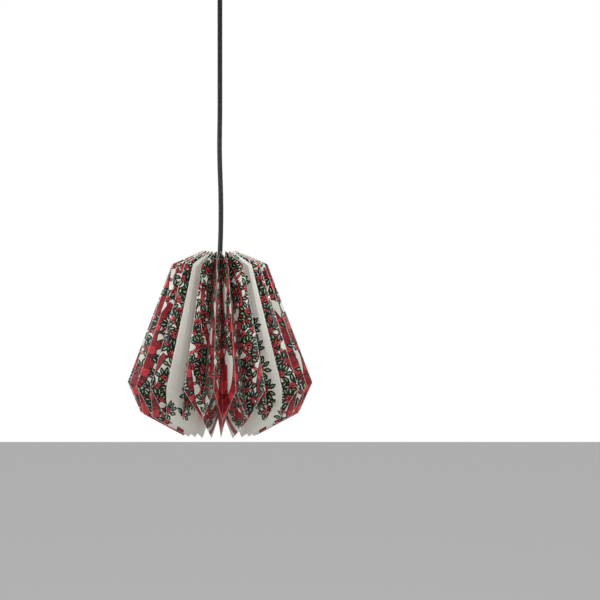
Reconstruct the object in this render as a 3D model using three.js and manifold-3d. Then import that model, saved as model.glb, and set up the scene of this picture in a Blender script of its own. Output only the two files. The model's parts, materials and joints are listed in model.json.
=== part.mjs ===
// A pleated paper pendant shade on its cord, with its ceiling fitting, lampholder and bulb.
// Millimetres, +Z up. The origin is the middle of the ceiling plate's top face, and everything hangs below it.
import * as THREE from "three";
import Module from "manifold-3d";

const wasm = await Module();
wasm.setup();

// ---- Driving dimensions -------------------------------------------------------------------------
const GAP = 0.3; // left between pieces that touch
const RIM_Z = -440; // height of the shade's upper tips

const plate = { length: 70, width: 22, thick: 2, holeAt: 26, holeR: 2.4 };
const hook = { wireR: 1.8, loopR: 6, loopZ: -16, gapFrom: 95, gapTo: 150 };
const link = { wireR: 1.3, ringR: 6 };
const hanger = { wireR: 1.5, eyeR: 5.5, bodyR: 7, bodyTop: -36.5, bodyBottom: -50 };
const cup = { radius: 45, wall: 2, top: -6.5, bottom: -64.5, round: 12, bossR: 9, bossDrop: 12 };
const screw = { shankR: 1.8, headR: 4, headLength: 4.5 };
const cord = { radius: 3.4, sides: 12, step: 12 };
const core = { radius: 1.1, sides: 8 };
const block = { length: 20, width: 12, height: 14, nearX: 14, top: -37 };

const holder = {
  capTop: RIM_Z - 9, neckR: 6.5, neckLength: 7, capR: 20, capBottom: RIM_Z - 29.7, wall: 2.2,
  bodyTop: RIM_Z - 30, flangeR: 24, flangeTop: RIM_Z - 34, skirtR: 19.5, skirtBottom: RIM_Z - 72, boreR: 16.5,
};
const carrier = { top: RIM_Z - 37.4, thick: 1.2, radius: 36.1, holeR: 20, vents: 6, ventR: 3.6, ventAt: 30 };
const ring = { innerR: 19.9, outerR: 26, height: 7, ribs: 24, ribDepth: 0.8 };
const base = { radius: 16.1, top: RIM_Z - 36, bottom: RIM_Z - 46, postR: 2.6, postAt: 9 };
const shell = { innerR: 13.6, outerR: 14.2, bottom: RIM_Z - 66 };
const contact = { radius: 2.6, bottom: RIM_Z - 48.6 };
const bulb = {
  tipTop: RIM_Z - 48.9, tipR: 2.4, insulatorTop: RIM_Z - 50.7, insulatorR: 5, capTop: RIM_Z - 53.8, capR: 13,
  collarTop: RIM_Z - 72, collarBottom: RIM_Z - 92, collarR: 23, globeR: 30,
};

const PLEATS = 25;
const SHEETS = 5;
const TURN = 3.5; // degrees from the front (-Y) to the middle of the nearest sheet
const paper = { thick: 0.6, mostOffset: 1.5, seamGap: 0.25 };
// Fold points of half a pleat, as [radius, height below the rim]. a lies on a ridge's plane, b on a valley's.
const fold = {
  aShoulder: [66, 18.1], aWide: [127.2, 181.4], aEnd: [40, 228],
  bRim: [22.9, 0], bWide: [111.2, 221.7], bEnd: [52.8, 253],
};
const thread = { radius: 0.6, sides: 6, ringR: 31.5, drop: 11, tunnelR: 1.5 };

// ---- Materials ----------------------------------------------------------------------------------
const finish = (color, metalness, roughness) => new THREE.MeshStandardMaterial({ color, metalness, roughness });
const look = {
  steel: () => finish(0xb9bcc0, 1, 0.35),
  brass: () => finish(0xc9a557, 1, 0.3),
  aluminium: () => finish(0xc4c6c8, 1, 0.4),
  whitePlastic: () => finish(0xf0eeea, 0, 0.45),
  blackPlastic: () => finish(0x1c1d1e, 0, 0.4),
  ceramic: () => finish(0xe9e5da, 0, 0.3),
  rubber: () => finish(0x15171a, 0, 0.35),
  paper: () => finish(0xe6e2d8, 0, 0.7),
  cotton: () => finish(0xe2dccb, 0, 0.9),
  glass: () => finish(0xf6f4ee, 0, 0.25),
  blue: () => finish(0x2f5f9e, 0, 0.5),
  brown: () => finish(0x6b4226, 0, 0.5),
};

// ---- Solids -------------------------------------------------------------------------------------
const radians = (degrees) => (degrees * Math.PI) / 180;

// A manifold-3d solid from a closed three.js geometry.
function solid(geometry) {
  const flat = geometry.index ? geometry.toNonIndexed() : geometry;
  const points = flat.getAttribute("position").array;
  const mesh = new wasm.Mesh({
    numProp: 3,
    vertProperties: new Float32Array(points),
    triVerts: Uint32Array.from({ length: points.length / 3 }, (_, i) => i),
  });
  mesh.merge();
  return new wasm.Manifold(mesh);
}

// A three.js geometry from a manifold-3d solid.
function geometryOf(body) {
  const mesh = body.getMesh();
  const geometry = new THREE.BufferGeometry();
  geometry.setAttribute("position", new THREE.BufferAttribute(new Float32Array(mesh.vertProperties), 3));
  geometry.setIndex(new THREE.BufferAttribute(new Uint32Array(mesh.triVerts), 1));
  geometry.computeVertexNormals();
  return geometry;
}

// A turned solid about Z. The profile is [radius, z] points from bottom to top of the outside; it closes on itself.
function turned(profile, segments = 32) {
  const outline = profile.map(([r, z]) => new THREE.Vector2(r, z));
  const closes = profile[0][0] > 0 || profile.at(-1)[0] > 0;
  if (closes) outline.push(outline[0].clone());
  const geometry = new THREE.LatheGeometry(outline, segments);
  geometry.rotateX(Math.PI / 2);
  return solid(geometry);
}

const disc = (radius, bottom, top, segments) =>
  turned([[0, bottom], [radius, bottom], [radius, top], [0, top]], segments);
const sleeve = (inner, outer, bottom, top, segments) =>
  turned([[inner, bottom], [outer, bottom], [outer, top], [inner, top]], segments);

function box(x, y, z, centre) {
  const geometry = new THREE.BoxGeometry(x, y, z);
  geometry.translate(...centre);
  return solid(geometry);
}

// A rod of n sides between two points.
function rod(radius, from, to, sides = 12) {
  const a = new THREE.Vector3(...from);
  const b = new THREE.Vector3(...to);
  const geometry = new THREE.CylinderGeometry(radius, radius, a.distanceTo(b), sides);
  const along = b.clone().sub(a).normalize();
  geometry.applyQuaternion(new THREE.Quaternion().setFromUnitVectors(new THREE.Vector3(0, 1, 0), along));
  geometry.translate(...a.add(b).multiplyScalar(0.5));
  return solid(geometry);
}

// A round tube along a smooth route.
function tube(radius, sides, route, steps) {
  const section = new THREE.Shape(
    Array.from({ length: sides }, (_, i) => {
      const t = (2 * Math.PI * i) / sides;
      return new THREE.Vector2(radius * Math.cos(t), radius * Math.sin(t));
    }),
  );
  const path = new THREE.CatmullRomCurve3(route.map((p) => new THREE.Vector3(...p)));
  return solid(new THREE.ExtrudeGeometry(section, { steps, bevelEnabled: false, extrudePath: path }));
}

// A ring of wire in the XZ or the YZ plane.
function wireRing(ringR, wireR, z, plane) {
  const geometry = new THREE.TorusGeometry(ringR, wireR, 8, 24);
  geometry.rotateX(Math.PI / 2);
  if (plane === "YZ") geometry.rotateZ(Math.PI / 2);
  geometry.translate(0, 0, z);
  return solid(geometry);
}

const group = new THREE.Group();
function add(name, body, material) {
  const mesh = new THREE.Mesh(geometryOf(body), material);
  mesh.name = name;
  group.add(mesh);
  return mesh;
}

// ---- Ceiling fitting ----------------------------------------------------------------------------
function ceilingPlate() {
  let body = box(plate.length, plate.width, plate.thick, [0, 0, -plate.thick / 2]);
  for (const side of [-1, 1]) {
    const x = side * plate.holeAt;
    body = body.subtract(rod(plate.holeR, [x, 0, -plate.thick - 1], [x, 0, 1], 16));
  }
  return body;
}

// The hook's wire comes down from the plate and round under its loop, open on one side.
function ceilingHook() {
  const steps = 14;
  const route = [[0, 0, -plate.thick - GAP], [0, 0, hook.loopZ + hook.loopR + 2.4]];
  for (let i = 0; i <= steps; i++) {
    const t = radians(hook.gapFrom - (i / steps) * (360 - (hook.gapTo - hook.gapFrom)));
    route.push([hook.loopR * Math.cos(t), 0, hook.loopZ + hook.loopR * Math.sin(t)]);
  }
  const foot = disc(4, -plate.thick - GAP - 1.5, -plate.thick - GAP, 16);
  return tube(hook.wireR, 8, route, 28).add(foot);
}

const hookWireZ = hook.loopZ - hook.loopR;
const linkZ = hookWireZ + hook.wireR + link.wireR + GAP - link.ringR;
const linkWireZ = linkZ - link.ringR;
const eyeZ = linkWireZ + link.wireR + hanger.wireR + GAP - hanger.eyeR;

function cordHanger() {
  const body = disc(hanger.bodyR, hanger.bodyBottom, hanger.bodyTop, 24);
  return body.add(wireRing(hanger.eyeR, hanger.wireR, eyeZ, "XZ"));
}

// The supply wires' ends are clamped here. Its two screws sit in wells in its lower face.
const wireAt = 3;
const blockX = block.nearX + block.length / 2;
function terminalBlock() {
  const body = box(block.length, block.width, block.height, [blockX, 0, block.top - block.height / 2]);
  const bottom = block.top - block.height;
  const wells = [-1, 1].map((side) =>
    rod(2.2, [blockX, side * wireAt, bottom - 1], [blockX, side * wireAt, bottom + 5], 12),
  );
  return wells.reduce((rest, well) => rest.subtract(well), body);
}

function blockScrew(side) {
  const bottom = block.top - block.height;
  return rod(1.8, [blockX, side * wireAt, bottom + 1.5], [blockX, side * wireAt, bottom + 5 - GAP], 12);
}

function supplyWire(side) {
  const z = hanger.bodyBottom + 5;
  const from = Math.sqrt(hanger.bodyR ** 2 - wireAt ** 2) + 2 * GAP;
  return rod(core.radius, [from, side * wireAt, z], [block.nearX - GAP, side * wireAt, z], core.sides);
}

const bossBottom = cup.bottom - cup.bossDrop;
const cordHoleR = cord.radius + 0.8;
const gripZ = cup.bottom - cup.bossDrop / 2;
function ceilingCup() {
  const corner = (radius, centreR, z) =>
    [0, 30, 60, 90].map((t) => [centreR + radius * Math.sin(radians(t)), z - radius * Math.cos(radians(t))]);
  const inner = cup.radius - cup.wall;
  const outside = corner(cup.round, cup.radius - cup.round, cup.bottom + cup.round);
  const inside = corner(cup.round - cup.wall, cup.radius - cup.round, cup.bottom + cup.round).reverse();
  const body = turned(
    [
      [cordHoleR, bossBottom], [cup.bossR, bossBottom], [cup.bossR, cup.bottom], ...outside,
      [cup.radius, cup.top], [inner, cup.top], ...inside, [cordHoleR, cup.bottom + cup.wall],
    ],
    40,
  );
  return body.subtract(rod(screw.shankR + GAP, [0, 0, gripZ], [cup.bossR + 2, 0, gripZ], 12));
}

// The thumbscrew that grips the cord: a shank and a knurled head.
function gripScrew() {
  const headFrom = cup.bossR + GAP;
  const shank = rod(screw.shankR, [cord.radius + 0.4, 0, gripZ], [headFrom + 1, 0, gripZ], 12);
  const head = rod(screw.headR, [headFrom, 0, gripZ], [headFrom + screw.headLength, 0, gripZ], 16);
  return shank.add(head);
}

// ---- Cord and its ends --------------------------------------------------------------------------
const cordTop = hanger.bodyBottom - GAP;
const cordBottom = holder.capTop - holder.neckLength - 3;
// The cord is straight where the cup slides on it, and below that keeps a slight set from its coil.
const cordRoute = [
  [0, 0, cordTop], [0, 0, -75], [0, 0, -100], [0, 0, -130], [0, 0, -160], [0, 0, -190], [0, 0, -220],
  [0, 0, -245], [-0.3, 0, -270], [-0.5, 0, -295], [-0.1, 0, -320], [0.7, 0, -345], [1.3, 0, -370],
  [1.4, 0, -395], [1, 0, -418], [0.4, 0, -436], [0, 0, holder.capTop], [0, 0, cordBottom],
];
function pendantCord() {
  const steps = Math.round((cordTop - cordBottom) / cord.step);
  return tube(cord.radius, cord.sides, cordRoute, steps);
}

const postTop = base.top + 3;
function coreWire(side) {
  const x = side * base.postAt;
  const route = [
    [side * 1.6, 0, cordBottom - GAP], [side * 1.8, 0, cordBottom - 3],
    [x * 0.75, 0, cordBottom - 8], [x, 0, postTop + 4], [x, 0, postTop + GAP],
  ];
  return tube(core.radius, core.sides, route, 10);
}

// ---- Lampholder ---------------------------------------------------------------------------------
function holderCap() {
  const neckBottom = holder.capTop - holder.neckLength;
  const inner = holder.capR - holder.wall;
  const body = turned([
    [inner, holder.capBottom], [holder.capR, holder.capBottom], [holder.capR, holder.capBottom + 5],
    [holder.capR - 2.5, holder.capBottom + 9], [holder.neckR + 5, neckBottom - 0.5], [holder.neckR, neckBottom],
    [holder.neckR, holder.capTop - 1], [holder.neckR - 1, holder.capTop], [cordHoleR, holder.capTop],
    [cordHoleR, neckBottom - holder.wall], [inner - 3, holder.capBottom + 6],
  ]);
  const z = holder.capTop - holder.neckLength / 2;
  return body.subtract(rod(screw.shankR + GAP, [0, 0, z], [holder.neckR + 2, 0, z], 12));
}

function capGrip() {
  const z = holder.capTop - holder.neckLength / 2;
  return rod(screw.shankR, [cord.radius + 0.4, 0, z], [holder.neckR + 1, 0, z], 12);
}

function holderBody() {
  return turned([
    [holder.boreR, holder.skirtBottom], [holder.skirtR - 0.6, holder.skirtBottom],
    [holder.skirtR, holder.skirtBottom + 0.6], [holder.skirtR, holder.flangeTop - 3],
    [holder.flangeR, holder.flangeTop - 3], [holder.flangeR, holder.flangeTop], [holder.capR, holder.flangeTop],
    [holder.capR, holder.bodyTop], [holder.boreR, holder.bodyTop],
  ]);
}

// The plate that the shade's valley folds rest on, clamped under the lampholder's flange.
function carrierPlate() {
  let body = sleeve(carrier.holeR, carrier.radius, carrier.top - carrier.thick, carrier.top, 50);
  for (let i = 0; i < carrier.vents; i++) {
    const t = (2 * Math.PI * (i + 0.5)) / carrier.vents;
    const [x, y] = [carrier.ventAt * Math.cos(t), carrier.ventAt * Math.sin(t)];
    body = body.subtract(rod(carrier.ventR, [x, y, carrier.top - 4], [x, y, carrier.top + 4], 16));
  }
  return body;
}

function shadeRing() {
  const top = carrier.top - carrier.thick - GAP;
  const bottom = top - ring.height;
  let body = sleeve(ring.innerR, ring.outerR, bottom, top, 48);
  for (let i = 0; i < ring.ribs; i++) {
    const t = (2 * Math.PI * i) / ring.ribs;
    const reach = ring.outerR + 0.6;
    const [x, y] = [reach * Math.cos(t), reach * Math.sin(t)];
    body = body.subtract(rod(ring.ribDepth + 0.6, [x, y, bottom - 1], [x, y, top - 1.5], 6));
  }
  return body;
}

const contactBase = () => disc(base.radius, base.bottom, base.top);

function terminalPost(side) {
  return rod(base.postR, [side * base.postAt, 0, base.top + GAP], [side * base.postAt, 0, postTop], 12);
}

const screwShell = () => sleeve(shell.innerR, shell.outerR, shell.bottom, base.bottom - GAP);
const centreContact = () => disc(contact.radius, contact.bottom, base.bottom - GAP, 16);

// ---- Bulb ---------------------------------------------------------------------------------------
const bulbTip = () =>
  turned([[0, bulb.insulatorTop + GAP], [bulb.tipR, bulb.insulatorTop + GAP], [1.4, bulb.tipTop], [0, bulb.tipTop]], 16);

const bulbInsulator = () =>
  turned([
    [0, bulb.capTop + GAP], [bulb.capR - 2, bulb.capTop + GAP],
    [bulb.insulatorR, bulb.insulatorTop], [0, bulb.insulatorTop],
  ]);

const bulbCap = () =>
  turned([
    [0, bulb.collarTop + GAP], [bulb.capR, bulb.collarTop + GAP], [bulb.capR, bulb.capTop - 1.5],
    [bulb.capR - 1.5, bulb.capTop], [0, bulb.capTop],
  ]);

const bulbCollar = () =>
  turned([
    [0, bulb.collarBottom], [bulb.collarR, bulb.collarBottom], [bulb.collarR - 1, bulb.collarBottom + 6],
    [bulb.collarR - 5, bulb.collarTop - 5], [bulb.capR + 1, bulb.collarTop], [0, bulb.collarTop],
  ]);

function bulbGlobe() {
  const top = bulb.collarBottom - GAP;
  const neckR = bulb.collarR - 0.5;
  const start = Math.asin(neckR / bulb.globeR);
  const centreZ = top - bulb.globeR * Math.cos(start);
  const steps = 12;
  const profile = [];
  for (let i = 0; i <= steps; i++) {
    const t = Math.PI - (i / steps) * (Math.PI - start);
    profile.push([i === 0 ? 0 : bulb.globeR * Math.sin(t), centreZ + bulb.globeR * Math.cos(t)]);
  }
  return turned([...profile, [0, top]], 36);
}

// ---- Shade --------------------------------------------------------------------------------------
// A sheet is three rows of folds: its upper edge, its widest folds and its lower edge. Ridges and valleys take turns.
const rows = [
  { ridge: fold.aShoulder, valley: fold.bRim },
  { ridge: fold.aWide, valley: fold.bWide },
  { ridge: fold.aEnd, valley: fold.bEnd },
];
const halfPitch = 180 / PLEATS;

// A fold's point at an angle about Z, moved sideways from that angle's plane.
function place([radius, z], degrees, sideways = 0) {
  const t = radians(degrees);
  const [sin, cos] = [Math.sin(t), Math.cos(t)];
  return new THREE.Vector3(radius * sin + sideways * cos, -radius * cos + sideways * sin, z);
}

// The outward normal of the panel between two rows, as its parts along the radius and Z on a ridge's plane.
function panelNormal(row) {
  const [ridge, valley, below] = [rows[row].ridge, rows[row].valley, rows[row + 1].ridge].map(([r, drop]) => [r, -drop]);
  const corner = place(ridge, 0);
  const normal = place(valley, halfPitch).sub(corner).cross(place(below, 0).sub(corner)).normalize();
  return [Math.abs(normal.y), normal.z * Math.sign(-normal.y)];
}

// How far a fold moves along [radius, z] to be half the paper's thickness outside its panels, within limits.
function offsetOf(row) {
  const half = paper.thick / 2;
  const normals = [row - 1, row].filter((i) => i >= 0 && i < rows.length - 1).map(panelNormal);
  const [[a, b], [c, d] = [-normals[0][1], normals[0][0]]] = normals;
  const along = normals.length === 2 ? half : 0;
  const scale = 1 / (a * d - b * c);
  const offset = [(half * d - b * along) * scale, (a * along - half * c) * scale];
  const length = Math.hypot(...offset);
  return offset.map((v) => (v * Math.min(length, paper.mostOffset)) / length);
}

// One sheet: five pleats from ridge to ridge.
function shadeSheet() {
  const columns = (2 * PLEATS) / SHEETS;
  const points = [];
  for (const side of [1, -1]) {
    rows.forEach(({ ridge, valley }, row) => {
      const [dr, dz] = offsetOf(row);
      for (let i = 0; i <= columns; i++) {
        const [radius, drop] = i % 2 ? valley : ridge;
        const seam = i === 0 ? paper.seamGap : i === columns ? -paper.seamGap : 0;
        points.push(place([radius + side * dr, RIM_Z - drop + side * dz], (i - columns / 2) * halfPitch, seam));
      }
    });
  }
  const layer = rows.length * (columns + 1);
  const at = (side, row, column) => side * layer + row * (columns + 1) + column;
  const triangles = [];
  const quad = (a, b, c, d) => triangles.push([a, b, c], [a, c, d]);
  for (let row = 0; row < rows.length - 1; row++) {
    for (let i = 0; i < columns; i++) {
      quad(at(0, row, i), at(0, row + 1, i), at(0, row + 1, i + 1), at(0, row, i + 1));
      quad(at(1, row, i), at(1, row, i + 1), at(1, row + 1, i + 1), at(1, row + 1, i));
    }
    quad(at(0, row, 0), at(1, row, 0), at(1, row + 1, 0), at(0, row + 1, 0));
    quad(at(0, row, columns), at(0, row + 1, columns), at(1, row + 1, columns), at(1, row, columns));
  }
  const last = rows.length - 1;
  for (let i = 0; i < columns; i++) {
    quad(at(0, 0, i), at(0, 0, i + 1), at(1, 0, i + 1), at(1, 0, i));
    quad(at(0, last, i), at(1, last, i), at(1, last, i + 1), at(0, last, i + 1));
  }
  const mesh = new wasm.Mesh({
    numProp: 3,
    vertProperties: new Float32Array(points.flatMap((p) => [p.x, p.y, p.z])),
    triVerts: new Uint32Array(triangles.flat()),
  });
  return new wasm.Manifold(mesh).subtract(threadTunnel());
}

// The square tunnel through the folds that the gathering thread runs in.
function threadTunnel() {
  const [z, r, half] = [RIM_Z - thread.drop, thread.ringR, thread.tunnelR];
  return sleeve(r - half, r + half, z - half, z + half, 2 * PLEATS);
}

function gatherThread() {
  const z = RIM_Z - thread.drop;
  const geometry = new THREE.TorusGeometry(thread.ringR, thread.radius, thread.sides, 50);
  geometry.translate(0, 0, z);
  return solid(geometry);
}

// ---- Assembly -----------------------------------------------------------------------------------
add("ceiling_plate", ceilingPlate(), look.steel());
add("ceiling_hook", ceilingHook(), look.steel());
add("hook_link", wireRing(link.ringR, link.wireR, linkZ, "YZ"), look.steel());
add("cord_hanger", cordHanger(), look.whitePlastic());
add("terminal_block", terminalBlock(), look.whitePlastic());
add("supply_wire_live", supplyWire(-1), look.brown());
add("supply_wire_neutral", supplyWire(1), look.blue());
add("block_screw_live", blockScrew(-1), look.brass());
add("block_screw_neutral", blockScrew(1), look.brass());
add("ceiling_cup", ceilingCup(), look.whitePlastic());
add("cup_grip_screw", gripScrew(), look.whitePlastic());
add("pendant_cord", pendantCord(), look.rubber());

add("holder_cap", holderCap(), look.blackPlastic());
add("cap_grip_screw", capGrip(), look.whitePlastic());
add("holder_body", holderBody(), look.blackPlastic());
add("carrier_plate", carrierPlate(), look.steel());
add("shade_ring", shadeRing(), look.blackPlastic());
add("contact_base", contactBase(), look.ceramic());
add("terminal_post_live", terminalPost(-1), look.brass());
add("terminal_post_neutral", terminalPost(1), look.brass());
add("core_live", coreWire(-1), look.brown());
add("core_neutral", coreWire(1), look.blue());
add("screw_shell", screwShell(), look.brass());
add("centre_contact", centreContact(), look.brass());

add("bulb_tip", bulbTip(), look.brass());
add("bulb_insulator", bulbInsulator(), look.blackPlastic());
add("bulb_cap", bulbCap(), look.aluminium());
add("bulb_collar", bulbCollar(), look.whitePlastic());
add("bulb_globe", bulbGlobe(), look.glass());

const sheet = shadeSheet();
for (let i = 0; i < SHEETS; i++) {
  add(`shade_sheet_${i + 1}`, sheet.rotate([0, 0, TURN + (360 / SHEETS) * i]), look.paper());
}
add("gather_thread", gatherThread(), look.cotton());

export default group;
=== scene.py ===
"""The pleated paper pendant lantern: printed paper, cord, fittings, lights and camera."""

import json
import math
import random

import bmesh
import bpy
from mathutils import Matrix, Vector, geometry

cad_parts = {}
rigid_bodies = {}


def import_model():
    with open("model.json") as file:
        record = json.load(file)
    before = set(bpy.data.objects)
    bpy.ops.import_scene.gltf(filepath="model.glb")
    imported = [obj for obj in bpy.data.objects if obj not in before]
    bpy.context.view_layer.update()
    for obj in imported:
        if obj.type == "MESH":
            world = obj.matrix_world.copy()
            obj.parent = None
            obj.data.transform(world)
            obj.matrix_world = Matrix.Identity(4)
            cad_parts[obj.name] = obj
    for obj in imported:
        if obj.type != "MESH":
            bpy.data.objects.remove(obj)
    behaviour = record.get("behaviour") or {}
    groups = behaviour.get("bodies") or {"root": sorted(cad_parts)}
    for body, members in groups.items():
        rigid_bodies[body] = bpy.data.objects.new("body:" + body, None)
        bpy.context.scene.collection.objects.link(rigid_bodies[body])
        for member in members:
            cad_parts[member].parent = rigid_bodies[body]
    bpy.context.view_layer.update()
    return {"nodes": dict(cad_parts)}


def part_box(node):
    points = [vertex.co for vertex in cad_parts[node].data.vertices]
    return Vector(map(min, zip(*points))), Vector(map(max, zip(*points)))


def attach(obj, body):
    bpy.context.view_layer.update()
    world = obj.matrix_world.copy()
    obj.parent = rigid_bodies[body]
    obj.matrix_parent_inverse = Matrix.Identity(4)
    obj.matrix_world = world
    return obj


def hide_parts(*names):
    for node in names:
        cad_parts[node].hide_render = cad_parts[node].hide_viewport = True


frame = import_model()
MM = 0.001

# ---- Driving dimensions, in millimetres until they are placed 
RIM_Z = -440.0
PLEATS = 25
SHEETS = 5
TURN = 3.5  # degrees from the front to the middle of the first sheet
HALF_PITCH = 180.0 / PLEATS

PANEL = 32.7  # width of a panel between two creases
SHEET_HEIGHT = 305.0
RIDGE_WIDEST = PANEL + 173.7  # how far down a ridge its widest fold is
FOLDS = 2 * PLEATS // SHEETS  # panels in one sheet
SHEET_WIDTH = FOLDS * PANEL
PAPER_THICK = 0.34

# Fold points as (radius, height below the rim).
RIDGE = {"tuck": (35.0, 30.0), "shoulder": (66.0, 18.1), "wide": (127.2, 181.4), "end": (40.0, 228.0)}
VALLEY = {"rim": (22.9, 0.0), "wide": (111.2, 221.7), "end": (52.8, 253.0)}

CORD_RADIUS = 3.4
CORD_ROUTE = [
    (0, 0, -50.3), (0, 0, -75), (0, 0, -100), (0, 0, -130), (0, 0, -160), (0, 0, -190), (0, 0, -220),
    (0, 0, -245), (-0.3, 0, -270), (-0.5, 0, -295), (-0.1, 0, -320), (0.7, 0, -345), (1.3, 0, -370),
    (1.4, 0, -395), (1, 0, -418), (0.4, 0, -436), (0, 0, -449), (0, 0, -459),
]

CAMERA_DISTANCE = 1.75
CAMERA_LEVEL = (RIM_Z - RIDGE["shoulder"][1]) * MM
PHOTO_LENS = 75.6
PHOTO_SHIFT = (0.1335, -0.06)
AMBIENT = 0.2
FLOOR_GLOW = 0.25
FLOOR_HALF, FLOOR_Z = 12.0, -2.4  # metres
LIGHTS_AIM = (0, 0, -0.56)


# ---- Camera ----------------------------------------------
def camera():
    """Level with the shade's shoulder. The shift puts the lantern left of the middle."""
    data = bpy.data.cameras.new("camera")
    data.lens = PHOTO_LENS
    data.sensor_width = 36
    data.shift_x, data.shift_y = PHOTO_SHIFT
    data.clip_end = 20
    obj = bpy.data.objects.new("camera", data)
    obj.location = (0, -CAMERA_DISTANCE, CAMERA_LEVEL)
    obj.rotation_euler = (math.pi / 2, 0, 0)
    bpy.context.scene.collection.objects.link(obj)
    bpy.context.scene.camera = obj


# ---- Node helpers ----------------------------------------
class Nodes:
    """Short ways to make and join shader nodes of one material."""

    def __init__(self, name):
        self.material = bpy.data.materials.new(name)
        self.material.use_nodes = True
        self.tree = self.material.node_tree
        self.shader = self.tree.nodes["Principled BSDF"]

    def add(self, kind, **settings):
        node = self.tree.nodes.new(kind)
        for key, value in settings.items():
            setattr(node, key, value)
        return node

    def join(self, output, socket):
        self.tree.links.new(output, socket)

    def feed(self, socket, value):
        if isinstance(value, (int, float, tuple)):
            socket.default_value = value
        else:
            self.join(value, socket)

    def math(self, operation, *values):
        node = self.add("ShaderNodeMath", operation=operation)
        for socket, value in zip(node.inputs, values):
            self.feed(socket, value)
        return node.outputs[0]

    def mix(self, factor, a, b):
        node = self.add("ShaderNodeMix", data_type="RGBA")
        colours = [socket for socket in node.inputs if socket.type == "RGBA"]
        self.feed(node.inputs[0], factor)
        self.feed(colours[0], a)
        self.feed(colours[1], b)
        return next(socket for socket in node.outputs if socket.type == "RGBA")

    def ramp(self, value, low, high, start=0.0, end=1.0):
        node = self.add("ShaderNodeMapRange", interpolation_type="SMOOTHSTEP")
        for socket, number in zip(node.inputs, (value, low, high, start, end)):
            self.feed(socket, number)
        return node.outputs[0]

    def noise(self, scale, detail=3.0, vector=None):
        node = self.add("ShaderNodeTexNoise")
        node.inputs["Scale"].default_value = scale
        node.inputs["Detail"].default_value = detail
        self.join(vector or self.objects(), node.inputs["Vector"])
        return node.outputs["Fac"]

    def objects(self):
        return self.add("ShaderNodeTexCoord").outputs["Object"]

    def bump(self, height, strength, distance, under=None):
        node = self.add("ShaderNodeBump")
        node.inputs["Strength"].default_value = strength
        node.inputs["Distance"].default_value = distance
        self.join(height, node.inputs["Height"])
        if under:
            self.join(under, node.inputs["Normal"])
        return node.outputs["Normal"]

    def set(self, **values):
        for key, value in values.items():
            self.feed(self.shader.inputs[key.replace("_", " ")], value)
        return self.material


# ---- Print on the paper ----------------------------------
# The artwork is drawn on the flat sheet: across from its left edge and down from its upper edge.
INKS = {
    "paper": (0.74, 0.73, 0.66),
    "black": (0.004, 0.004, 0.005),
    "red": (0.31, 0.009, 0.017),
    "crimson": (0.45, 0.013, 0.026),
    "scarlet": (0.62, 0.040, 0.052),
    "green": (0.018, 0.16, 0.065),
    "lime": (0.13, 0.36, 0.07),
}
BARK, TWIG, LEAF = 1, 2, 3  # which marks the material draws on a shape

LEAF_POINTS = 10
LEAF_LENGTHS = (7.4, 9.2)
LEAF_WIDTH = 0.24  # half a leaf's width, as a share of its length
LEAF_RIM = 1.25  # the black line round a leaf
LEAF_TAPER = 0.22
TWIG_WIDTHS = (5.0, 3.2)
TWIG_RISE = 0.8  # how steeply a twig climbs from its limb
LIMB_OUTLINE = 1.2
BAND_SPACING = 5  # points of a limb's line from one pair of bands to the next
FAN_SPACING = 17.4
FAN_SPREAD = 0.60  # radians from one stalk of a fan to the next
FAN_SHADOW = 3.4  # radius of the black ground behind a fan
STALK_WIDTHS = (3.8, 2.8)
STALK_REACH = 12.0
STALK_UNEVEN = 1.8  # how much longer or shorter a stalk can be


def smooth_line(points, steps=6):
    """Points along a smooth line through the given ones."""
    ends = [points[0]] + points + [points[-1]]
    line = []
    for a, b, c, d in zip(ends, ends[1:], ends[2:], ends[3:]):
        for i in range(steps):
            t = i / steps
            line.append(tuple(
                0.5 * (
                    2 * q + (r - p) * t + (2 * p - 5 * q + 4 * r - s) * t**2
                    + (3 * q - p - 3 * r + s) * t**3
                )
                for p, q, r, s in zip(a, b, c, d)
            ))
    return line + [points[-1]]


def side_points(line, width_at):
    """The two sides of a strip that follows a line, and the distance along it at each point."""
    left, right, along = [], [], [0.0]
    for i, point in enumerate(line):
        before, after = line[max(i - 1, 0)], line[min(i + 1, len(line) - 1)]
        direction = (Vector(after) - Vector(before)).normalized()
        across = Vector((-direction.y, direction.x)) * width_at(i / (len(line) - 1)) / 2
        left.append(tuple(Vector(point) + across))
        right.append(tuple(Vector(point) - across))
        if i:
            along.append(along[-1] + (Vector(point) - Vector(line[i - 1])).length)
    return left, right, along


class Artwork:
    """Shapes on the flat sheet, the later ones over the earlier ones, each with marks by point."""

    def __init__(self):
        self.shapes = []

    def shape(self, points, ink, marks=None):
        area = sum(a[0] * b[1] - b[0] * a[1] for a, b in zip(points, points[1:] + points[:1]))
        self.shapes.append((points if area > 0 else points[::-1], ink, marks))

    def strip(self, line, start, end, ink, grow=0.0, kind=None):
        left, right, along = side_points(line, lambda t: start + (end - start) * t + 2 * grow)
        marks = (lambda point: (*place_on_strip(point, line, along, start, end), kind)) if kind else None
        self.shape(left + right[::-1], ink, marks)

    def leaf(self, at, angle, length, ink):
        """A pointed leaf. Its marks run from -1 to 1 along and across it, inside its outline."""
        half, wide, outline = length / 2, length * LEAF_WIDTH, []
        for i in range(LEAF_POINTS):
            t = 2 * math.pi * i / LEAF_POINTS
            x = (half + LEAF_RIM * 1.5) * math.cos(t)
            pointed = 0.4 + 0.6 * abs(math.sin(t))
            y = (wide + LEAF_RIM) * math.sin(t) * pointed * (1 - LEAF_TAPER * math.cos(t))
            outline.append(turned(at, angle, x, y))
        along, across = turned((0, 0), angle, 1, 0), turned((0, 0), angle, 0, 1)

        def marks(point):
            x, y = point[0] - at[0], point[1] - at[1]
            return (x * along[0] + y * along[1]) / half, (x * across[0] + y * across[1]) / wide, LEAF

        self.shape(outline, ink, marks)


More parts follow.
